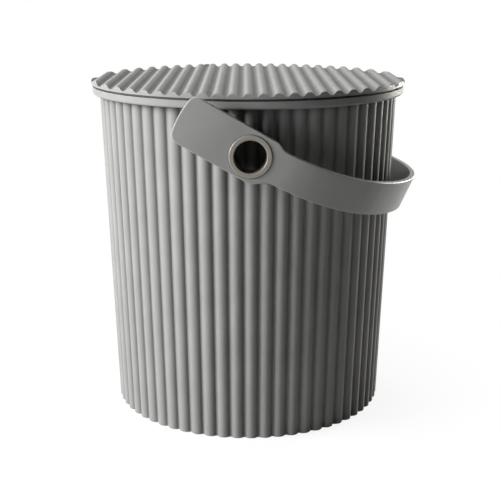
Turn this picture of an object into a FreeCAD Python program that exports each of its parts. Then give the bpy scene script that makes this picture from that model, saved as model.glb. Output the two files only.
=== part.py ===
import FreeCAD, Part
import math
import os

# Ribbed bucket with a loose ridged lid and a strap handle that swings on two hollow eyelets.
# Millimetres, +Z up. The origin is the middle of the standing face, and the pivot axis runs along Y.

# Driving dimensions: lengths in millimetres, angles in degrees, counts and shares as plain numbers.
SIZES = {
    "mouth_height": 260.9,
    "crest_radius_top": 118.8,
    "crest_radius_base": 110.2,
    "rib_count": 63,
    "rib_turn": 0.65,
    "rib_depth": 2.4,
    "rib_crest_share": 0.84,
    "wall_thickness": 2.4,
    "base_thickness": 3.0,
    "foot_recess": 3.0,
    "foot_width": 3.4,
    "rim_projection": 5.2,
    "rim_drop": 7.3,
    "rim_round": 1.6,
    "rim_step_width": 3.0,
    "rim_step_depth": 1.6,
    "lid_overhang": 1.0,
    "lid_seat_gap": 0.2,
    "lid_lip": 1.3,
    "lid_edge_round": 1.6,
    "lid_sheet": 2.2,
    "ridge_pitch": 10.68,
    "ridge_height": 2.8,
    "ridge_crest_share": 0.6,
    "lid_turn": -0.5,
    "plug_clearance": 0.7,
    "plug_depth": 8.0,
    "plug_wall": 2.0,
    "pivot_drop": 37.6,
    "swing_clearance": 1.6,
    "rest_clearance": 5.0,
    "strap_thickness": 4.2,
    "strap_stub": 22.0,
    "strap_corner_inset": 13.0,
    "strap_edge_round": 0.8,
    "tail_angle": 9.6,
    "tail_length": 56.4,
    "tail_upper": 18.0,
    "tail_lower": 17.0,
    "tail_crown": 2.5,
    "tail_corner": 7.0,
    "tail_flat": 20.0,
    "tail_curl_radius": 284.0,
    "shoulder_upper_start": 15.5,
    "shoulder_upper_end": 21.0,
    "shoulder_lower_start": 7.0,
    "shoulder_lower_end": 17.5,
    "shoulder_round": 10.0,
    "neck_upper": 11.3,
    "neck_lower": 12.9,
    "arm_upper": 8.2,
    "arm_lower": 17.2,
    "grip_upper": 14.4,
    "grip_lower": 12.5,
    "grip_lean": 4.5,
    "eyelet_hole_radius": 11.4,
    "eyelet_shank_wall": 1.9,
    "eyelet_flange_width": 3.75,
    "eyelet_flange_thickness": 2.4,
    "eyelet_proud": 1.0,
    "eyelet_seat_depth": 9.4,
    "eyelet_edge_round": 0.8,
    "boss_wall": 3.0,
    "boss_slot_width": 13.0,
    "seat_clearance": 0.05,
    "running_clearance": 0.06,
    "flange_gap": 0.3,
    "side_clearance": 0.3,
}

# Sizes that follow from the driving ones, so that what fits, seats or swings clear stays tied.
DERIVED = {
    "wall_slope": "(crest_radius_top - crest_radius_base) / mouth_height",
    "floor_height": "foot_recess + base_thickness",
    "foot_recess_radius": "crest_radius_base - rib_depth - foot_width",
    "rim_radius": "crest_radius_top + rim_projection",
    "rim_step_radius": "rim_radius - rim_step_width",
    "lid_radius": "rim_radius + lid_overhang",
    "lid_bottom": "mouth_height + lid_seat_gap",
    "lid_top": "lid_bottom + lid_lip + ridge_height",
    "plug_radius": "crest_radius_top - rib_depth - wall_thickness - plug_clearance",
    "plug_bore_radius": "plug_radius - plug_wall",
    "plug_bottom": "lid_bottom - plug_depth",
    "pivot_height": "mouth_height - pivot_drop",
    "swing_radius": "sqrt(lid_radius ^ 2 + (lid_top - pivot_height) ^ 2) + swing_clearance",
    "strap_inner": "swing_radius / cos(grip_lean * 1deg)",
    "strap_outer": "strap_inner + strap_thickness",
    "eyelet_shank_radius": "eyelet_hole_radius + eyelet_shank_wall",
    "eyelet_flange_radius": "eyelet_hole_radius + eyelet_flange_width",
    "eyelet_face": "strap_outer + eyelet_proud",
    "eyelet_flange_back": "eyelet_face - eyelet_flange_thickness",
    "boss_end": "strap_inner - side_clearance",
    "boss_shoulder": "boss_end - eyelet_seat_depth",
    "boss_bore_radius": "eyelet_shank_radius + seat_clearance",
    "boss_radius": "boss_bore_radius + boss_wall",
    "boss_root": "crest_radius_base - rib_depth - wall_thickness",
    "strap_bore_radius": "eyelet_shank_radius + running_clearance",
    "strap_recess_radius": "eyelet_flange_radius + flange_gap",
    "strap_recess_floor": "eyelet_flange_back - side_clearance",
    "strap_pad_height": "2 * (strap_outer + tail_length)",
}

FULL_TURN = 360.0
OVERRUN = 5.0

doc = FreeCAD.newDocument("ribbed_bucket")
sheet = doc.addObject("Spreadsheet::Sheet", "sizes")


def fill_sheet():
    rows = [(name, str(value)) for name, value in SIZES.items()]
    rows += [(name, "=" + formula) for name, formula in DERIVED.items()]
    for row, (name, content) in enumerate(rows, start=1):
        sheet.set("A%d" % row, name)
        sheet.set("B%d" % row, content)
        sheet.setAlias("B%d" % row, name)
    doc.recompute()


def size(name):
    value = sheet.get(name)
    return float(getattr(value, "Value", value))


def bind(target, **formulas):
    for prop, formula in formulas.items():
        target.setExpression(prop.replace("__", "."), formula)


def add_feature(name, shape):
    feature = doc.addObject("Part::Feature", name)
    feature.Shape = shape
    return feature


def add_cylinder(name, radius, height, bottom):
    cylinder = doc.addObject("Part::Cylinder", name)
    bind(cylinder, Radius=radius, Height=height, Placement__Base__z=bottom)
    return cylinder


def add_cut(name, base, tool):
    cut = doc.addObject("Part::Cut", name)
    cut.Base = base
    cut.Tool = tool
    return cut


def add_common(name, base, tool):
    common = doc.addObject("Part::Common", name)
    common.Base = base
    common.Tool = tool
    return common


def add_fuse(name, shapes):
    fuse = doc.addObject("Part::MultiFuse", name)
    fuse.Shapes = shapes
    return fuse


def origin_plane(body, role):
    return next(feature for feature in body.Origin.OriginFeatures if feature.Role == role)


def add_sketch(body, name, role):
    sketch = body.newObject("Sketcher::SketchObject", name)
    sketch.AttachmentSupport = [(origin_plane(body, role), "")]
    sketch.MapMode = "FlatFace"
    return sketch


def add_polygon(sketch, points):
    corners = [FreeCAD.Vector(across, up, 0) for across, up in points]
    for start, end in zip(corners, corners[1:] + corners[:1]):
        sketch.addGeometry(Part.LineSegment(start, end), False)


def crest_radius(height):
    return size("crest_radius_base") + size("wall_slope") * height


def rib_ring(radius, height):
    """Closed ring of crest and valley arcs, with a crest near the front pivot."""
    count = int(round(size("rib_count")))
    share = size("rib_crest_share")
    depth = size("rib_depth")
    pitch = 2 * math.pi / count
    first = math.radians(size("rib_turn")) - math.pi / 2
    crest_half = pitch * share / 2
    flank = radius - share * depth

    def point(distance, angle):
        return FreeCAD.Vector(distance * math.cos(angle), distance * math.sin(angle), height)

    arcs = []
    for rib in range(count):
        middle = first + rib * pitch
        start = point(flank, middle - crest_half)
        end = point(flank, middle + crest_half)
        following = point(flank, middle + pitch - crest_half)
        arcs.append(Part.Arc(start, point(radius, middle), end).toShape())
        arcs.append(Part.Arc(end, point(radius - depth, middle + pitch / 2), following).toShape())
    return Part.Wire(arcs)


def ribbed_solid(bottom, top, inset):
    rings = [rib_ring(crest_radius(height) - inset, height) for height in (bottom, top)]
    return Part.makeLoft(rings, True, True)


def add_boss(name, direction):
    """Hollow boss from the wall to the strap, stepped to seat an eyelet and slotted below to drain."""
    turn = FreeCAD.Rotation(FreeCAD.Vector(1, 0, 0), 90 * direction)
    pieces = []
    for part_name, radius, start, end in (
        ("outside", "boss_radius", "boss_root", "boss_end"),
        ("passage", "eyelet_hole_radius", "boss_root", "boss_end"),
        ("seat", "boss_bore_radius", "boss_shoulder", "boss_end"),
    ):
        piece = doc.addObject("Part::Cylinder", name + "_" + part_name)
        piece.Placement = FreeCAD.Placement(FreeCAD.Vector(), turn)
        bind(
            piece,
            Radius="sizes." + radius,
            Height="sizes.%s - sizes.%s" % (end, start),
            Placement__Base__y="%d * sizes.%s" % (-direction, start),
            Placement__Base__z="sizes.pivot_height",
        )
        pieces.append(piece)
    slot = doc.addObject("Part::Box", name + "_slot")
    bind(
        slot,
        Length="sizes.boss_slot_width",
        Width="sizes.boss_shoulder - sizes.boss_root",
        Height="sizes.boss_radius",
        Placement__Base__x="-sizes.boss_slot_width / 2",
        Placement__Base__y="-sizes.boss_shoulder" if direction > 0 else "sizes.boss_root",
        Placement__Base__z="sizes.pivot_height - sizes.boss_radius",
    )
    bore = add_fuse(name + "_bore", pieces[1:] + [slot])
    return add_cut(name, pieces[0], bore)


def add_rounded_cylinder(name, cylinder, pick, radius):
    """Cylinder with one of its two circles rounded: min picks the lower circle, max the upper one."""
    doc.recompute()
    circles = [
        (edge.CenterOfMass.z, index)
        for index, edge in enumerate(cylinder.Shape.Edges, start=1)
        if len(edge.Vertexes) == 1
    ]
    rounded = doc.addObject("Part::Fillet", name)
    rounded.Base = cylinder
    rounded.Edges = [(pick(circles)[1], size(radius), size(radius))]
    return rounded


def add_rim():
    """Rim band with a rounded lower edge and a step at the top that shows as a gap under the lid."""
    band = add_cylinder(
        "rim_band", "sizes.rim_radius", "sizes.rim_drop", "sizes.mouth_height - sizes.rim_drop"
    )
    rounded = add_rounded_cylinder("rim_rounded", band, min, "rim_round")
    step_outside = add_cylinder(
        "rim_step_outside",
        "sizes.rim_radius + %s" % OVERRUN,
        "sizes.rim_step_depth + %s" % OVERRUN,
        "sizes.mouth_height - sizes.rim_step_depth",
    )
    step_inside = add_cylinder(
        "rim_step_inside",
        "sizes.rim_step_radius",
        "sizes.rim_step_depth + %s" % OVERRUN,
        "sizes.mouth_height - sizes.rim_step_depth",
    )
    return add_cut("rim", rounded, add_cut("rim_step", step_outside, step_inside))


def make_bucket_body():
    skin = add_feature("ribbed_skin", ribbed_solid(0, size("mouth_height"), 0))
    shell = add_fuse("shell", [skin, add_rim(), add_boss("front_boss", 1), add_boss("rear_boss", -1)])
    hollow = add_feature(
        "ribbed_hollow",
        ribbed_solid(size("floor_height"), size("mouth_height") + OVERRUN, size("wall_thickness")),
    )
    recess = add_cylinder("foot_recess_cut", "sizes.foot_recess_radius", "sizes.foot_recess", "0")
    body = add_cut("bucket_body_cut", add_cut("open_shell", shell, hollow), recess)
    body.Label = "bucket_body"
    return body


def ridge_prism(drop):
    """Block with straight ridges on its top, nearly along Y as the lid was put on, lowered by a drop."""
    pitch = size("ridge_pitch")
    share = size("ridge_crest_share")
    top = size("lid_top") - drop
    height = size("ridge_height")
    reach = size("lid_radius") + OVERRUN
    side = int(math.ceil(reach / pitch))
    crest_half = pitch * share / 2
    flank = top - share * height
    bottom = size("plug_bottom") - OVERRUN

    def point(across, up):
        return FreeCAD.Vector(across, -reach, up)

    edges = []
    for ridge in range(-side, side + 1):
        middle = ridge * pitch
        start = point(middle - crest_half, flank)
        end = point(middle + crest_half, flank)
        edges.append(Part.Arc(start, point(middle, top), end).toShape())
        if ridge < side:
            following = point(middle + pitch - crest_half, flank)
            edges.append(Part.Arc(end, point(middle + pitch / 2, top - height), following).toShape())
    left = -side * pitch - crest_half
    right = side * pitch + crest_half
    corners = [point(right, flank), point(right, bottom), point(left, bottom), point(left, flank)]
    edges += [Part.makeLine(start, end) for start, end in zip(corners, corners[1:])]
    block = Part.Face(Part.Wire(edges)).extrude(FreeCAD.Vector(0, 2 * reach, 0))
    block.rotate(FreeCAD.Vector(), FreeCAD.Vector(0, 0, 1), size("lid_turn"))
    return block


def make_lid():
    ridges = add_feature("ridge_block", ridge_prism(0))
    disc = add_cylinder(
        "lid_disc", "sizes.lid_radius", "sizes.lid_top - sizes.lid_bottom", "sizes.lid_bottom"
    )
    plug = add_cylinder(
        "lid_plug", "sizes.plug_radius", "sizes.plug_depth + sizes.lid_lip", "sizes.plug_bottom"
    )
    rounded = add_rounded_cylinder("lid_rounded", disc, max, "lid_edge_round")
    outside = add_fuse("lid_outside", [add_common("ridged_disc", rounded, ridges), plug])
    lower_ridges = add_feature("lower_ridge_block", ridge_prism(size("lid_sheet")))
    bore = add_cylinder(
        "lid_bore",
        "sizes.plug_bore_radius",
        "sizes.lid_top - sizes.plug_bottom + %s" % OVERRUN,
        "sizes.plug_bottom - %s" % OVERRUN,
    )
    lid = add_cut("lid_cut", outside, add_common("lid_hollow", bore, lower_ridges))
    lid.Label = "lid"
    return lid


def strap_side(offset):
    """Plan of one face of the strap from the front tail to the rear tail, offset inwards."""
    reach = size("strap_outer") - offset
    stub = size("strap_stub")
    flat = -size("tail_flat")
    curl = size("tail_curl_radius") - offset
    tail_turn = (size("tail_length") + OVERRUN - size("tail_flat")) / size("tail_curl_radius")
    corner = reach - stub - size("strap_corner_inset")
    across = reach - corner
    along = stub - reach
    end_radius = (corner ** 2 - along ** 2 - across ** 2) / (2 * (along + corner))
    end_centre = reach - end_radius
    turn = math.atan2(across, stub - end_centre)

    def tail(angle):
        return flat - curl * math.sin(angle), reach - curl * (1 - math.cos(angle))

    def bend(angle):
        return stub + corner * math.cos(angle), across + corner * math.sin(angle)

    half = [
        ("arc", tail(tail_turn), tail(tail_turn / 2), (flat, reach)),
        ("line", (flat, reach), (stub, reach)),
        ("arc", (stub, reach), bend((math.pi / 2 + turn) / 2), bend(turn)),
    ]
    joint = bend(turn)
    grip = ("arc", (joint[0], -joint[1]), (reach, 0.0), joint)
    front = [(piece[0],) + tuple((along_x, -along_y) for along_x, along_y in piece[1:]) for piece in half]
    return front + [grip] + half, tail(tail_turn)


def add_pieces(sketch, pieces):
    for kind, *points in pieces:
        corners = [FreeCAD.Vector(along, across, 0) for along, across in points]
        curve = Part.Arc(*corners) if kind == "arc" else Part.LineSegment(*corners)
        sketch.addGeometry(curve, False)


def strap_outline():
    """Side outline of the strap seen along the pivot axis, as corners and bulges between them."""
    lean = math.radians(size("tail_angle"))
    reach = size("strap_outer")

    def tail(along, up):
        return -along * math.cos(lean) + up * math.sin(lean), along * math.sin(lean) + up * math.cos(lean)

    def tail_edge(up, along):
        """Point of a straight tail edge at a distance along the strap, past the eyelet."""
        return along, up / math.cos(lean) - along * math.tan(lean)

    length = size("tail_length")
    crown = size("tail_crown")
    upper = size("tail_upper")
    lower = -size("tail_lower")
    neck_end_upper = (size("shoulder_upper_end"), size("neck_upper"))
    neck_end_lower = (size("shoulder_lower_end"), -size("neck_lower"))
    grip_upper = (reach, size("grip_upper"))
    grip_lower = (reach, -size("grip_lower"))
    middle_upper = ((neck_end_upper[0] + reach) / 2, size("arm_upper"))
    middle_lower = ((neck_end_lower[0] + reach) / 2, -size("arm_lower"))
    end_upper = tail(length - crown, upper)
    end_lower = tail(length - crown, lower)
    shoulder_upper = tail_edge(upper, size("shoulder_upper_start"))
    shoulder_lower = tail_edge(lower, size("shoulder_lower_start"))
    beyond = reach + OVERRUN
    pieces = [
        ("line", end_upper, shoulder_upper),
        ("line", shoulder_upper, neck_end_upper),
        ("arc", neck_end_upper, middle_upper, grip_upper),
        ("line", grip_upper, (beyond, grip_upper[1])),
        ("line", (beyond, grip_upper[1]), (beyond, grip_lower[1])),
        ("line", (beyond, grip_lower[1]), grip_lower),
        ("arc", grip_lower, middle_lower, neck_end_lower),
        ("line", neck_end_lower, shoulder_lower),
        ("line", shoulder_lower, end_lower),
        ("arc", end_lower, tail(length, (upper + lower) / 2), end_upper),
    ]
    shoulders = [shoulder_upper, neck_end_upper, shoulder_lower, neck_end_lower]
    return pieces, [end_upper, end_lower], shoulders


def edges_at(shape, places):
    """Names of the edges that cross the strap's thickness at the given side-view places."""
    reach = 0.5
    names = []
    for index, edge in enumerate(shape.Edges, start=1):
        middle = edge.CenterOfMass
        start, end = edge.Vertexes[0].Point, edge.Vertexes[-1].Point
        if abs(end.y - start.y) < 0.5 * edge.Length:
            continue
        if any(math.hypot(middle.x - along, middle.z - up) < reach for along, up in places):
            names.append("Edge%d" % index)
    return names


def band_direction():
    """Direction across the strap's width, which leans outwards at the upper edge of the grip."""
    lean = math.radians(size("grip_lean"))
    return FreeCAD.Vector(math.sin(lean), 0, math.cos(lean))


def is_broad_face(face):
    """True for the strap's outer and inner faces, which run straight across its width."""
    first, last, low, high = face.ParameterRange
    places = [(first + share * (last - first), low + share * (high - low)) for share in (0.2, 0.5, 0.8)]
    return all(abs(face.normalAt(*place).dot(band_direction())) < 0.001 for place in places)


def long_edges(shape):
    """Names of the edges along the strap, where a broad face meets its outline."""
    names = []
    for index, edge in enumerate(shape.Edges, start=1):
        faces = shape.ancestorsOfType(edge, Part.Face)
        if len(faces) == 2 and is_broad_face(faces[0]) != is_broad_face(faces[1]):
            names.append("Edge%d" % index)
    return names


def add_round(body, name, base, edges, radius):
    rounding = body.newObject("PartDesign::Fillet", name)
    rounding.Base = (base, edges)
    bind(rounding, Radius="sizes." + radius)
    doc.recompute()
    return rounding


def make_carry_handle():
    body = doc.addObject("PartDesign::Body", "carry_handle_body")
    body.Label = "carry_handle"
    plan = add_sketch(body, "strap_plan", "XY_Plane")
    outside, outside_tail = strap_side(0.0)
    inside, inside_tail = strap_side(size("strap_thickness"))
    add_pieces(plan, outside + inside)
    for mirror in (1, -1):
        ends = [(along, mirror * across) for along, across in (outside_tail, inside_tail)]
        add_pieces(plan, [("line", *ends)])
    band = body.newObject("PartDesign::Pad", "strap_band")
    band.Profile = plan
    band.SideType = "Symmetric"
    band.UseCustomVector = True
    band.Direction = band_direction()
    bind(band, Length="sizes.strap_pad_height")
    doc.recompute()

    outline = add_sketch(body, "strap_outline", "XZ_Plane")
    pieces, tail_corners, shoulders = strap_outline()
    add_pieces(outline, pieces)
    frame = size("strap_pad_height")
    add_polygon(outline, [(-frame, -frame), (frame, -frame), (frame, frame), (-frame, frame)])
    trim = body.newObject("PartDesign::Pocket", "strap_trim")
    trim.Profile = outline
    trim.SideType = "Symmetric"
    bind(trim, Length="2 * sizes.strap_pad_height")
    doc.recompute()

    rounded = add_round(body, "tail_rounds", trim, edges_at(trim.Shape, tail_corners), "tail_corner")
    shoulder_edges = edges_at(rounded.Shape, shoulders)
    rounded = add_round(body, "shoulder_rounds", rounded, shoulder_edges, "shoulder_round")
    add_round(body, "edge_rounds", rounded, long_edges(rounded.Shape), "strap_edge_round")

    seat = add_sketch(body, "eyelet_seats", "YZ_Plane")
    outer = size("strap_outer") + OVERRUN
    floor = size("strap_recess_floor")
    recess = size("strap_recess_radius")
    bore = size("strap_bore_radius")
    add_polygon(
        seat,
        [
            (-outer, 0), (-outer, recess), (-floor, recess), (-floor, bore),
            (floor, bore), (floor, recess), (outer, recess), (outer, 0),
        ],
    )
    seats = body.newObject("PartDesign::Groove", "eyelet_seat_groove")
    seats.Profile = seat
    seats.ReferenceAxis = (seat, ["H_Axis"])
    seats.Angle = FULL_TURN
    doc.recompute()

    body.Placement = FreeCAD.Placement(
        FreeCAD.Vector(), FreeCAD.Rotation(FreeCAD.Vector(0, 1, 0), rest_tilt())
    )
    bind(body, Placement__Base__z="sizes.pivot_height")
    return body


def rest_tilt():
    """Angle below level, in degrees, at which the grip's lower edge lies just off the ribs."""
    slope = size("wall_slope")
    drop = size("grip_lower")
    reach = size("strap_inner") - drop * math.tan(math.radians(size("grip_lean")))
    across = reach + slope * drop
    down = slope * reach - drop
    wall = crest_radius(size("pivot_height")) + size("rest_clearance")
    return math.degrees(math.atan2(down, across) + math.acos(wall / math.hypot(across, down)))


def make_eyelet(name, turn):
    """Hollow flanged bush: the shank seats in the boss, and the flange holds the strap on."""
    body = doc.addObject("PartDesign::Body", name + "_body")
    body.Label = name
    profile = add_sketch(body, name + "_profile", "YZ_Plane")
    hole = size("eyelet_hole_radius")
    shank = size("eyelet_shank_radius")
    flange = size("eyelet_flange_radius")
    face = -size("eyelet_face")
    back = -size("eyelet_flange_back")
    tip = -size("boss_shoulder")
    add_polygon(
        profile, [(face, hole), (face, flange), (back, flange), (back, shank), (tip, shank), (tip, hole)]
    )
    bush = body.newObject("PartDesign::Revolution", name + "_bush")
    bush.Profile = profile
    bush.ReferenceAxis = (profile, ["H_Axis"])
    bush.Angle = FULL_TURN
    doc.recompute()
    face_edges = [
        "Edge%d" % index
        for index, edge in enumerate(bush.Shape.Edges, start=1)
        if edge.Closed and abs(edge.CenterOfMass.y - face) < 0.01
    ]
    add_round(body, name + "_face_rounds", bush, face_edges, "eyelet_edge_round")
    body.Placement = FreeCAD.Placement(
        FreeCAD.Vector(), FreeCAD.Rotation(FreeCAD.Vector(0, 0, 1), turn)
    )
    bind(body, Placement__Base__z="sizes.pivot_height")
    return body


def write_parts(parts):
    doc.recompute()
    for item in doc.Objects:
        if "Invalid" in item.State or "Error" in item.State:
            raise RuntimeError("%s failed: %s" % (item.Name, item.State))
    for part in parts:
        shape = part.Shape
        if shape.isNull() or not shape.isValid() or len(shape.Solids) != 1:
            raise RuntimeError("%s is not one valid solid" % part.Label)
    os.makedirs("parts", exist_ok=True)
    for part in parts:
        part.Shape.exportStep("parts/%s.step" % part.Label)
        box = part.Shape.BoundBox
        print(
            "%s: volume %.0f, x %.1f to %.1f, y %.1f to %.1f, z %.1f to %.1f"
            % (part.Label, part.Shape.Volume, box.XMin, box.XMax, box.YMin, box.YMax, box.ZMin, box.ZMax)
        )


fill_sheet()
write_parts(
    [
        make_bucket_body(),
        make_lid(),
        make_carry_handle(),
        make_eyelet("front_pivot_eyelet", 0),
        make_eyelet("rear_pivot_eyelet", 180),
    ]
)
print("rest tilt %.2f degrees, strap outer reach %.2f" % (rest_tilt(), size("strap_outer")))
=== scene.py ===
import math

import bpy
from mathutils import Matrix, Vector

# Ribbed grey bucket with a loose ridged lid and a strap handle on hollow eyelets, in metres.

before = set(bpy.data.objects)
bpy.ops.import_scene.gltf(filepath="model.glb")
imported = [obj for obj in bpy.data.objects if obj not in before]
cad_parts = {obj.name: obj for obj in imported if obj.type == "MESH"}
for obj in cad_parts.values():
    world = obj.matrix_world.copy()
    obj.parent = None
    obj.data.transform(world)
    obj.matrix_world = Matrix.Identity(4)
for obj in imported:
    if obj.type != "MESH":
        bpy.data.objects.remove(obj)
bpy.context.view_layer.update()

# Camera
CAMERA_PLACE = (-0.00999, -0.83144, 0.3438)
CAMERA_TURN = (74.95, 0.0, -0.8)
CAMERA_LENS = 73.66

# Plastics
BODY_GREY = (0.198, 0.198, 0.194)
LID_GREY = (0.195, 0.195, 0.189)
STRAP_GREY = (0.195, 0.195, 0.190)
EYELET_TAUPE = (0.185, 0.172, 0.150)
MOTTLE_SCALE = 38.0
MOTTLE_SHARE = 0.05
MOTTLE_BAND = (0.3, 0.7)
GLOSS_SCALE = 90.0
GLOSS_SPREAD = 0.05
GRAIN_SCALE = 1400.0
GRAIN_STRENGTH = 0.5
GRAIN_DEPTH = 0.00002
FINE_GRAIN_DEPTH = 0.00001

# Painted shade: narrow places are darkened in the colour by an occlusion node. Only the piece's own
# shape within reach closes a place in.
RECESS_REACH = 0.03
RECESS_CLOSED = 0.3
RECESS_OPEN = 0.95
RECESS_SHADE = 0.2

# Floor, with a shadow that fades out between two distances from the bucket's axis
FLOOR_RADIUS = 6.0
FLOOR_CORNERS = 96
FLOOR_DROP = 0.0004
FLOOR_LIT = 0.85
FLOOR_BOUNCE = 0.5
SHADOW_SHARE = 0.12
SHADOW_FULL = 0.11
SHADOW_GONE = 0.22

# Lamps: name, degrees round from the camera's side, degrees up, width, watts, colour
AIM = Vector((0.0, 0.0, 0.14))
LAMP_DISTANCE = 1.4
COOL_WHITE = (0.97, 1.0, 1.02)
PLAIN_WHITE = (1.0, 1.0, 0.99)
WARM_WHITE = (1.0, 0.98, 0.9)
LAMPS = (
    ("key", -74.0, 22.0, 0.7, 47.0, PLAIN_WHITE),
    ("low_left", -50.0, 3.0, 0.6, 9.0, COOL_WHITE),
    ("back_left", -150.0, 30.0, 0.5, 4.0, PLAIN_WHITE),
    ("back_top", 180.0, 60.0, 0.5, 6.0, PLAIN_WHITE),
    ("back_right", 130.0, 8.0, 0.5, 26.0, WARM_WHITE),
)


def add_node(tree, kind, **inputs):
    node = tree.nodes.new(kind)
    for name, value in inputs.items():
        node.inputs[name.replace("_", " ")].default_value = value
    return node


def add_operation(tree, kind, operation):
    node = tree.nodes.new(kind)
    node.operation = operation
    return node


def grey(level):
    return (level, level, level, 1.0)


def moulded_plastic(name, colour, roughness, specular, grain_depth=GRAIN_DEPTH):
    """Satin moulded plastic: faint mottling, painted shade in recesses, uneven gloss and a fine grain.
    """
    material = bpy.data.materials.new(name)
    material.use_nodes = True
    tree = material.node_tree
    shader = tree.nodes["Principled BSDF"]
    shader.inputs["Specular IOR Level"].default_value = specular
    place = tree.nodes.new("ShaderNodeTexCoord").outputs["Object"]

    mottle = add_node(tree, "ShaderNodeTexNoise", Scale=MOTTLE_SCALE, Detail=3.0)
    tint = tree.nodes.new("ShaderNodeValToRGB")
    shares = (1.0 - MOTTLE_SHARE, 1.0 + MOTTLE_SHARE)
    for stop, position, share in zip(tint.color_ramp.elements, MOTTLE_BAND, shares):
        stop.position = position
        stop.color = [share * part for part in colour] + [1.0]
    tree.links.new(place, mottle.inputs["Vector"])
    tree.links.new(mottle.outputs["Fac"], tint.inputs["Fac"])

    # Painted shade: the colour is darkened where the piece's own shape closes a place in, in rib
    # valleys and bores.
    painted_shade_occlusion = add_node(tree, "ShaderNodeAmbientOcclusion", Distance=RECESS_REACH)
    painted_shade_occlusion.only_local = True
    painted_shade_factor = add_node(
        tree,
        "ShaderNodeMapRange",
        From_Min=RECESS_CLOSED,
        From_Max=RECESS_OPEN,
        To_Min=RECESS_SHADE,
        To_Max=1.0,
    )
    painted_shade_colour = add_operation(tree, "ShaderNodeVectorMath", "SCALE")
    tree.links.new(painted_shade_occlusion.outputs["AO"], painted_shade_factor.inputs["Value"])
    tree.links.new(tint.outputs["Color"], painted_shade_colour.inputs[0])
    tree.links.new(painted_shade_factor.outputs["Result"], painted_shade_colour.inputs["Scale"])
    tree.links.new(painted_shade_colour.outputs["Vector"], shader.inputs["Base Color"])

    gloss = add_node(tree, "ShaderNodeTexNoise", Scale=GLOSS_SCALE, Detail=2.0)
    spread = add_node(
        tree,
        "ShaderNodeMapRange",
        To_Min=roughness - GLOSS_SPREAD,
        To_Max=roughness + GLOSS_SPREAD,
    )
    tree.links.new(place, gloss.inputs["Vector"])
    tree.links.new(gloss.outputs["Fac"], spread.inputs["Value"])
    tree.links.new(spread.outputs["Result"], shader.inputs["Roughness"])

    grain = add_node(tree, "ShaderNodeTexNoise", Scale=GRAIN_SCALE, Detail=2.0)
    bump = add_node(tree, "ShaderNodeBump", Strength=GRAIN_STRENGTH, Distance=grain_depth)
    tree.links.new(place, grain.inputs["Vector"])
    tree.links.new(grain.outputs["Fac"], bump.inputs["Height"])
    tree.links.new(bump.outputs["Normal"], shader.inputs["Normal"])
    return material


def dress(node, material):
    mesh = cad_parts[node].data
    mesh.materials.clear()
    mesh.materials.append(material)


def seen_directly(tree):
    """1 for rays that show the stage as it is seen, straight, in gloss or through glass, else 0."""
    path = tree.nodes.new("ShaderNodeLightPath")
    glossy = add_operation(tree, "ShaderNodeMath", "MAXIMUM")
    either = add_operation(tree, "ShaderNodeMath", "MAXIMUM")
    tree.links.new(path.outputs["Is Camera Ray"], glossy.inputs[0])
    tree.links.new(path.outputs["Is Glossy Ray"], glossy.inputs[1])
    tree.links.new(glossy.outputs[0], either.inputs[0])
    tree.links.new(path.outputs["Is Transmission Ray"], either.inputs[1])
    return either.outputs[0]


def make_floor():
    """White floor that keeps a faint shadow round the object and throws little light back."""
    bpy.ops.mesh.primitive_circle_add(
        vertices=FLOOR_CORNERS,
        radius=FLOOR_RADIUS,
        fill_type="NGON",
        location=(0, 0, -FLOOR_DROP),
    )
    floor = bpy.context.object
    floor.name = "floor"
    material = bpy.data.materials.new("white_floor")
    material.use_nodes = True
    tree = material.node_tree
    tree.nodes.clear()
    lit = add_node(tree, "ShaderNodeBsdfDiffuse", Color=grey(FLOOR_LIT))
    bounce = add_node(tree, "ShaderNodeBsdfDiffuse", Color=grey(FLOOR_BOUNCE))
    glow = add_node(tree, "ShaderNodeEmission", Color=grey(1.0), Strength=1.0)
    place = tree.nodes.new("ShaderNodeTexCoord").outputs["Object"]
    reach = add_operation(tree, "ShaderNodeVectorMath", "LENGTH")
    keep = add_node(
        tree,
        "ShaderNodeMapRange",
        From_Min=SHADOW_FULL,
        From_Max=SHADOW_GONE,
        To_Min=SHADOW_SHARE,
        To_Max=0.0,
    )
    shown = tree.nodes.new("ShaderNodeMixShader")
    final = tree.nodes.new("ShaderNodeMixShader")
    output = tree.nodes.new("ShaderNodeOutputMaterial")
    tree.links.new(place, reach.inputs[0])
    tree.links.new(reach.outputs["Value"], keep.inputs["Value"])
    tree.links.new(keep.outputs["Result"], shown.inputs["Fac"])
    tree.links.new(glow.outputs[0], shown.inputs[1])
    tree.links.new(lit.outputs[0], shown.inputs[2])
    tree.links.new(seen_directly(tree), final.inputs["Fac"])
    tree.links.new(bounce.outputs[0], final.inputs[1])
    tree.links.new(shown.outputs[0], final.inputs[2])
    tree.links.new(final.outputs[0], output.inputs["Surface"])
    floor.data.materials.append(material)


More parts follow.
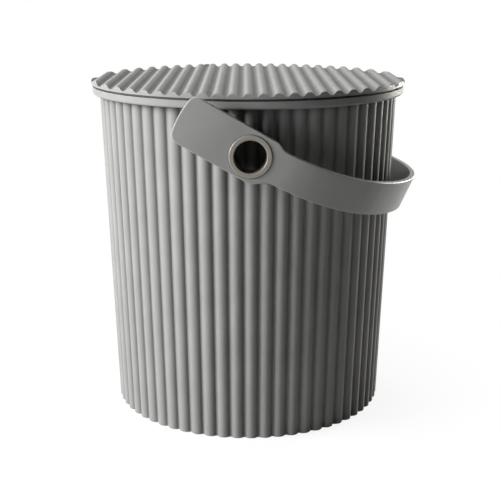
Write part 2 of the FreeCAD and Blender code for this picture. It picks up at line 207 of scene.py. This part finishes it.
def make_world():
    """White backdrop where it is seen, which throws no light on the object."""
    world = bpy.data.worlds.new("studio")
    bpy.context.scene.world = world
    world.use_nodes = True
    tree = world.node_tree
    tree.nodes.clear()
    white = add_node(tree, "ShaderNodeBackground", Color=grey(1.0))
    output = tree.nodes.new("ShaderNodeOutputWorld")
    tree.links.new(seen_directly(tree), white.inputs["Strength"])
    tree.links.new(white.outputs[0], output.inputs["Surface"])


def add_lamp(name, round_turn, up_turn, width, watts, colour):
    """Square soft lamp that looks at the middle of the bucket."""
    across = math.radians(round_turn)
    up = math.radians(up_turn)
    towards = Vector((math.sin(across) * math.cos(up), -math.cos(across) * math.cos(up), math.sin(up)))
    lamp = bpy.data.lights.new(name, "AREA")
    lamp.shape = "SQUARE"
    lamp.size = width
    lamp.energy = watts
    lamp.color = colour
    holder = bpy.data.objects.new(name, lamp)
    holder.location = AIM + LAMP_DISTANCE * towards
    holder.rotation_euler = towards.to_track_quat("Z", "Y").to_euler()
    bpy.context.scene.collection.objects.link(holder)


def add_camera():
    camera = bpy.data.cameras.new("photo_camera")
    camera.lens = CAMERA_LENS
    holder = bpy.data.objects.new("photo_camera", camera)
    holder.location = CAMERA_PLACE
    holder.rotation_euler = [math.radians(turn) for turn in CAMERA_TURN]
    bpy.context.scene.collection.objects.link(holder)
    bpy.context.scene.camera = holder


dress("bucket_body", moulded_plastic("body_plastic", BODY_GREY, roughness=0.45, specular=0.04))
dress("lid", moulded_plastic("lid_plastic", LID_GREY, roughness=0.45, specular=0.08))
dress("carry_handle", moulded_plastic("strap_plastic", STRAP_GREY, roughness=0.36, specular=0.3))
eyelet_plastic = moulded_plastic(
    "eyelet_plastic",
    EYELET_TAUPE,
    roughness=0.28,
    specular=0.4,
    grain_depth=FINE_GRAIN_DEPTH,
)
dress("front_pivot_eyelet", eyelet_plastic)
dress("rear_pivot_eyelet", eyelet_plastic)

make_floor()
make_world()
for lamp in LAMPS:
    add_lamp(*lamp)
add_camera()

scene = bpy.context.scene
scene.view_settings.view_transform = "Standard"
